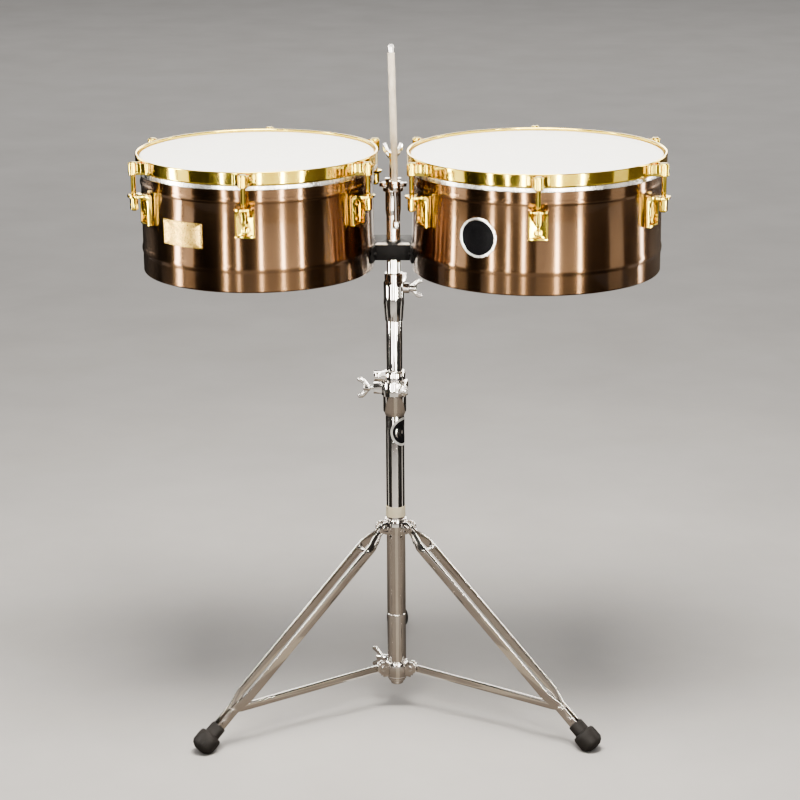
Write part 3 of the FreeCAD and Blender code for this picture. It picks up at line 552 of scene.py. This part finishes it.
def strap_outline(outer, eye):
    """Plan of a strap: two feet on the band and two legs that close on the eye."""
    thick = 2.6
    near = outer - 0.6
    upper = [
        (near, 18), (near + thick, 17), (near + thick + 0.6, 13.5), (eye - 9, 8.5),
        (eye - 3.5, 6.4), (eye - 2.5, 0),
    ]
    inner = [
        (eye - 5.2, 0), (eye - 6.2, 4), (eye - 10, 6.2), (near + 1.2, 10.5), (near, 12.5),
    ]
    half = rounded(upper, 2.5, 3, False)
    void = rounded(inner, 1.5, 2, False)
    lower = [(x, -y) for x, y in reversed(half[:-1])]
    lower_void = [(x, -y) for x, y in reversed(void)]
    return half + lower + lower_void[:-1] + void


def tuning_hardware():
    """Lug brackets, tuning rods, screws and nuts, with their CAD shapes eased."""
    refined("lug_brackets", GOLD, 0.7)
    refined("tuning_rods", GOLD, 0.5)
    refined("lug_screws", GOLD, 0.35)
    for side in SIDES:
        for index in NUTS:
            refined(f"tuning_nut_{side}_{index}", GOLD, 0.4)


# ---------------------------------------------------------------- stand

def tube(node, corners, radius, material, body):
    """A turned wall round the column's axis, with its corners rounded."""
    made = turned(bmesh.new(), rounded(corners, radius), HERE, 72)
    make_piece(node + "_shown", made, material, body, [node])


def column():
    """Three tubes that slide in one another, the cream band and the sleeve on top."""
    base, top = levels(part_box("base_tube"))
    tube("base_tube", [
        (BASE_TUBE_BORE, base), (BASE_TUBE_RADIUS, base),
        (BASE_TUBE_RADIUS, BASE_TUBE_SEAM - SEAM_HALF),
        (BASE_TUBE_RADIUS - SEAM_DEPTH, BASE_TUBE_SEAM),
        (BASE_TUBE_RADIUS, BASE_TUBE_SEAM + SEAM_HALF),
        (BASE_TUBE_RADIUS, top), (BASE_TUBE_BORE, top),
    ], 0.3, CHROME, "base")
    base, top = levels(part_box("middle_tube"))
    tube("middle_tube", [
        (11.45, base), (12.7, base), (12.7, top), (11.45, top),
    ], 0.3, CHROME, "middle")
    base, top = levels(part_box("upper_tube"))
    tube("upper_tube", [
        (9.4, base), (11.1, base), (11.1, top), (9.4, top),
    ], 0.3, CHROME, "upper")
    base, top = levels(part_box("tape_band"))
    tube("tape_band", [
        (15.08, base), (15.6, base), (15.65, top), (15.08, top),
    ], 0.2, CREAM, "base")
    base, top = levels(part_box("top_sleeve"))
    tube("top_sleeve", [
        (11.15, base), (11.6, base), (12.5, base + 8), (12.5, top - 6.4), (16, top - 6),
        (16, top), (11.15, top),
    ], 0.8, CHROME, "upper")


def wing_shape(span, reach):
    """A butterfly: two wings that rise from the sides of the barrel."""
    half = span / 2
    return [
        (-4.5, 1), (4.5, 1), (6.5, 3), (half - 3, 9), (half, 13), (half, reach - 2),
        (half - 3, reach), (half - 6, reach - 1), (6, 11.5), (-6, 11.5), (-half + 6, reach - 1),
        (-half + 3, reach), (-half, reach - 2), (-half, 13), (-half + 3, 9), (-6.5, 3),
    ]


def wing_screw(node, span, reach, stem):
    """Hand screw along its joint's axis: a stem, a waisted barrel and two thick rounded wings."""
    body = frame["nodes"][node]["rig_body"]
    joint = [item for item in frame["joints"] if item["child"] == body][0]
    turn = Vector(joint["axis"]).to_track_quat("Z", "X").to_matrix().to_4x4()
    place = Matrix.Translation(Vector(joint["pos_m"])) @ turn
    made = bmesh.new()
    profile = [
        (0, 0.2), (2.9, 0.2), (2.9, stem), (5.2, stem), (5.5, stem + 4), (5, stem + 9),
        (5.4, stem + 11), (0, stem + 11),
    ]
    turned(made, rounded(profile, 0.8, 3, False), place, 36, False)
    lift = Matrix.Translation((0, 0, stem * MM)) @ Matrix.Rotation(math.radians(90), 4, "X")
    outline = rounded(wing_shape(span, reach), 2.4, 4)
    half_thickness = 2
    plate(made, outline, -half_thickness, half_thickness, 1.3, place @ lift)
    make_piece(node + "_shown", made, CHROME, body, [node], 45)


def fittings():
    """Clamps, collars, pins, the cowbell post and the bracket, with their CAD shapes eased."""
    for node in ("base_clamp", "memory_lock", "middle_collar", "top_clamp", "leg_collar", "hub"):
        refined(node, CHROME, 0.8)
    for node in ("clamp_bolt", "collar_pins", "hub_pins", "rod_stop", "rod_eye", "base_end_cap"):
        refined(node, CHROME, 0.5)
    refined("post_wing", CHROME, 1.2)
    refined("cowbell_rod", CHROME, 0.3)
    refined("rod_sleeve", IVORY, 0.2)
    refined("drum_bracket", BLACK, 0.8)
    refined("mount_plates", BLACK, 0.4)
    refined("mount_bolts", BLACK, 0.4)


def legs():
    """Each leg with its brace and its rubber foot."""
    for side in (*SIDES, "rear"):
        refined(f"leg_{side}", CHROME, 0.45)
        refined(f"brace_{side}", CHROME, 0.4)
        refined(f"foot_{side}", RUBBER, 0.8)


# ---------------------------------------------------------------- badges

def wrapped(target, outline, profile, wall, place):
    """Adds a low relief bent round an upright wall. The profile is scale and lift off the wall."""
    rings = []
    for scale, lift in profile:
        points = [(u * scale, v * scale) for u, v in outline] if scale else [(0, 0)]
        ring = []
        for across, up in points:
            angle = across / wall
            reach = wall + lift
            spot = Vector((reach * math.cos(angle), reach * math.sin(angle), up)) * MM
            ring.append(target.verts.new(place @ spot))
        rings.append(ring)
    for inner, outer in zip(rings, rings[1:]):
        bridge(target, inner, outer, len(outline))
    return target


def badge_place(side, node):
    """Where a badge sits: turned from +X to the badge, at its own height."""
    low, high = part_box(node)
    centre = drum_place(side)[0]
    middle = (low + high) / 2
    heading = math.atan2(middle.y - centre[1], middle.x - centre[0])
    spot = Matrix.Translation(Vector((centre[0], centre[1], middle.z)))
    return spot @ Matrix.Rotation(heading, 4, "Z")


def badges():
    """A blank engraved plate, a blank round badge in a silver ring and a round tube label."""
    wide, tall = NAME_PLATE_HALF_WIDTH, NAME_PLATE_HALF_HEIGHT
    corners = [(-wide, -tall), (wide, -tall), (wide, tall), (-wide, tall)]
    outline = rounded(subdivided(corners, 9), 3, 5)
    relief = [(1, 0.2), (1, 1.0), (0.985, 1.3), (0.93, 1.3), (0.915, 1.05), (0.5, 1.05), (0, 1.05)]
    wall = drum_place("left")[1]
    made = wrapped(bmesh.new(), outline, relief, wall, badge_place("left", "name_plate"))
    make_piece("name_plate_shown", made, PLATE, "drums", ["name_plate"], 30)

    wall = drum_place("right")[1]
    seat = badge_place("right", "round_badge")
    outline = circle(ROUND_BADGE_RADIUS)
    relief = [(1, 0.2), (1, 1.1), (0.98, 1.7), (0.9, 1.7), (0.87, 1.1)]
    made = wrapped(bmesh.new(), outline, relief, wall, seat)
    make_piece("badge_ring_shown", made, HOOP, "drums", ["round_badge"], 30)
    relief = [(scale, 1.2) for scale in (0.88, 0.6, 0.3, 0)]
    made = wrapped(bmesh.new(), outline, relief, wall, seat)
    make_piece("badge_disc_shown", made, GLOSS_BLACK, "drums", ["round_badge"])

    seat = Matrix.Translation((0, 0, LABEL_LEVEL * MM))
    seat = seat @ Matrix.Rotation(math.radians(LABEL_ANGLE - 90), 4, "Z")
    outline = circle(LABEL_RADIUS)
    relief = [(1, 0.05), (1, 0.16), (0.86, 0.16), (0.84, 0.1)]
    made = wrapped(bmesh.new(), outline, relief, BASE_TUBE_RADIUS, seat)
    make_piece("tube_label_ring", made, WHITE_PRINT, "base")
    relief = [(scale, 0.12) for scale in (0.86, 0.7, 0.5, 0.25, 0)]
    made = wrapped(bmesh.new(), outline, relief, BASE_TUBE_RADIUS, seat)
    make_piece("tube_label_disc", made, GLOSS_BLACK, "base")


def bracket_highlight_pads():
    """Two thin pale pads on the bracket's top, either side of the tube: a painted highlight that
    stands for light glinting off the bracket's glossy top.
    """
    low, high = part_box("drum_bracket")
    top, front = high.z / MM, low.y / MM
    made = bmesh.new()
    # Pale ivory pads as a painted highlight: light glinting off the black bracket, not real pads.
    for sign in (-1, 1):
        corners = [(7, front + 1), (27, front + 1), (24, front + 15), (11, front + 15)]
        outline = rounded([(sign * x, y) for x, y in corners], 1)
        plate(made, outline, top + 0.02, top + 0.5, 0.15)
    make_piece("bracket_highlight_pads", made, IVORY, "drums")


# ---------------------------------------------------------------- stage

def area_light(name, place, aim, size, height, power, colour, fills=True):
    """A rectangular lamp. One that doesn't fill is seen by reflections alone."""
    data = bpy.data.lights.new(name, "AREA")
    data.shape = "RECTANGLE"
    data.size = size
    data.size_y = height
    data.energy = power
    data.color = colour
    lamp = bpy.data.objects.new(name, data)
    lamp.location = place
    lamp.rotation_euler = (Vector(aim) - Vector(place)).to_track_quat("-Z", "Y").to_euler()
    lamp.visible_camera = False
    lamp.visible_diffuse = fills
    bpy.context.scene.collection.objects.link(lamp)


def floor_sheet():
    """A wide pale floor under the feet."""
    half = FLOOR_HALF
    corners = [(-half, -half, 0), (half, -half, 0), (half, half, 0), (-half, half, 0)]
    mesh = bpy.data.meshes.new("floor")
    mesh.from_pydata(corners, [], [(0, 1, 2, 3)])
    mesh.materials.append(FLOOR_PAINT)
    floor = bpy.data.objects.new("floor", mesh)
    bpy.context.scene.collection.objects.link(floor)


def room():
    """A dim room that brightens upwards."""
    world = bpy.data.worlds.new("studio")
    world.use_nodes = True
    bpy.context.scene.world = world
    tree = world.node_tree
    background = tree.nodes["Background"]
    coordinates = tree.nodes.new("ShaderNodeTexCoord")
    split = tree.nodes.new("ShaderNodeSeparateXYZ")
    ramp = tree.nodes.new("ShaderNodeValToRGB")
    while len(ramp.color_ramp.elements) < len(ROOM):
        ramp.color_ramp.elements.new(0.5)
    for element, (position, colour) in zip(ramp.color_ramp.elements, ROOM):
        element.position = position
        element.color = (*colour, 1)
    shift = tree.nodes.new("ShaderNodeMapRange")
    shift.inputs["From Min"].default_value = -1
    tree.links.new(coordinates.outputs["Generated"], split.inputs["Vector"])
    tree.links.new(split.outputs["Z"], shift.inputs["Value"])
    tree.links.new(shift.outputs["Result"], ramp.inputs["Fac"])
    tree.links.new(ramp.outputs["Color"], background.inputs["Color"])
    background.inputs["Strength"].default_value = ROOM_STRENGTH


def lights():
    """Soft lamps above, tall ones round the front and sides, and kickers behind."""
    area_light("overhead", (0.05, -0.45, 2.2), (0, 0, 0.9), 1.0, 0.6, 110, WARM)
    area_light("ceiling", (0, 0.5, 3.6), (0, 0.3, 0), 3.5, 3, 12, SOFT_WHITE)
    area_light("backdrop", (0, 6, 3.6), (0, 6.2, 0), 9, 6, 150, SOFT_WHITE)
    for angle, reach, width, brightness in STRIPS:
        foot = CHROME_TOP - reach * DOWNWARD
        reflected_light(f"strip_{angle}", angle, reach, foot, STRIP_TOP, width, brightness)
    for angle, width in KICKERS:
        reflected_light(
            f"kicker_{angle}", angle, KICKER_REACH, KICKER_FOOT, KICKER_TOP, width,
            KICKER_BRIGHTNESS,
        )


def reflected_light(name, angle, reach, foot, top, width, brightness):
    """An upright lamp at a direction from the front, seen by reflections alone."""
    heading = math.radians(angle)
    level = (foot + top) / 2
    place = (reach * math.sin(heading), -reach * math.cos(heading), level)
    power = brightness * math.pi * width * (top - foot)
    area_light(name, place, (0, 0, level), width, top - foot, power, WARM, False)


# Start and end direction, reach from the column, height and cloth of each dark card.
FLAGS = [
    (34, 88, 0.95, 0.5, FLAG_CLOTH), (100, 150, 0.95, 0.5, FLAG_CLOTH),
    (-88, -40, 0.95, 0.5, FLAG_CLOTH), (-150, -98, 0.95, 0.5, FLAG_CLOTH),
    (-175, -10, 2.3, 2.2, FLAG_CLOTH), (-10, 60, 2.3, 2.2, MAT_CLOTH),
    (60, 175, 2.3, 2.2, MAT_CLOTH),
]
# Start and end direction of the brown mats on the floor, lighter where the column mirrors it.
MATS = [(26, 352, MAT_CLOTH), (-8, 26, PALE_MAT_CLOTH)]


def flags():
    """Dark cards and floor mats that only reflections see, so that plated tubes show contrast."""
    for start, end, reach, top, cloth in FLAGS:
        reflected_sheet([(start, reach, CARD_FOOT), (start, reach, top)], end, cloth)
    for start, end, cloth in MATS:
        edge = [(start, MAT_START, MAT_LEVEL), (start, MAT_REACH, MAT_LEVEL)]
        reflected_sheet(edge, end, cloth, MAT_STEPS)


def reflected_sheet(edge, end, cloth, steps=12):
    """A dark sheet swept round the column from an edge of direction, reach and height."""
    mesh_data = bmesh.new()
    columns = []
    for step in range(steps + 1):
        column = []
        for start, reach, height in edge:
            heading = math.radians(start + (end - start) * step / steps)
            spot = (reach * math.sin(heading), -reach * math.cos(heading), height)
            column.append(mesh_data.verts.new(spot))
        columns.append(column)
    for (low, high), (next_low, next_high) in zip(columns, columns[1:]):
        mesh_data.faces.new((low, next_low, next_high, high))
    mesh = bpy.data.meshes.new("flag")
    mesh_data.to_mesh(mesh)
    mesh_data.free()
    mesh.materials.append(cloth)
    sheet = bpy.data.objects.new("flag", mesh)
    bpy.context.scene.collection.objects.link(sheet)
    for kind in ("camera", "diffuse", "shadow", "transmission", "volume_scatter"):
        setattr(sheet, "visible_" + kind, False)


def camera():
    """A long lens from a little to the right and above, with a slight pan and roll."""
    data = bpy.data.cameras.new("camera")
    data.lens = CAMERA_LENS
    data.sensor_width = CAMERA_SENSOR
    seat = bpy.data.objects.new("camera", data)
    pan = Matrix.Rotation(math.radians(CAMERA_PAN), 4, "Z")
    tilt = Matrix.Rotation(math.radians(90 + CAMERA_TILT), 4, "X")
    roll = Matrix.Rotation(math.radians(CAMERA_ROLL), 4, "Z")
    seat.matrix_world = Matrix.Translation(CAMERA_PLACE) @ pan @ tilt @ roll
    bpy.context.scene.collection.objects.link(seat)
    bpy.context.scene.camera = seat


for drum_side in SIDES:
    shell(drum_side)
    head(drum_side)
    flesh_hoop(drum_side)
    rim(drum_side)
tuning_hardware()
badges()
bracket_highlight_pads()
column()
wing_screw("hub_wing_screw", 34, 21, 9)
wing_screw("clamp_wing_screw", 34, 21, 12)
wing_screw("collar_wing_screw", 30, 21, 10)
fittings()
legs()
floor_sheet()
room()
lights()
flags()
camera()
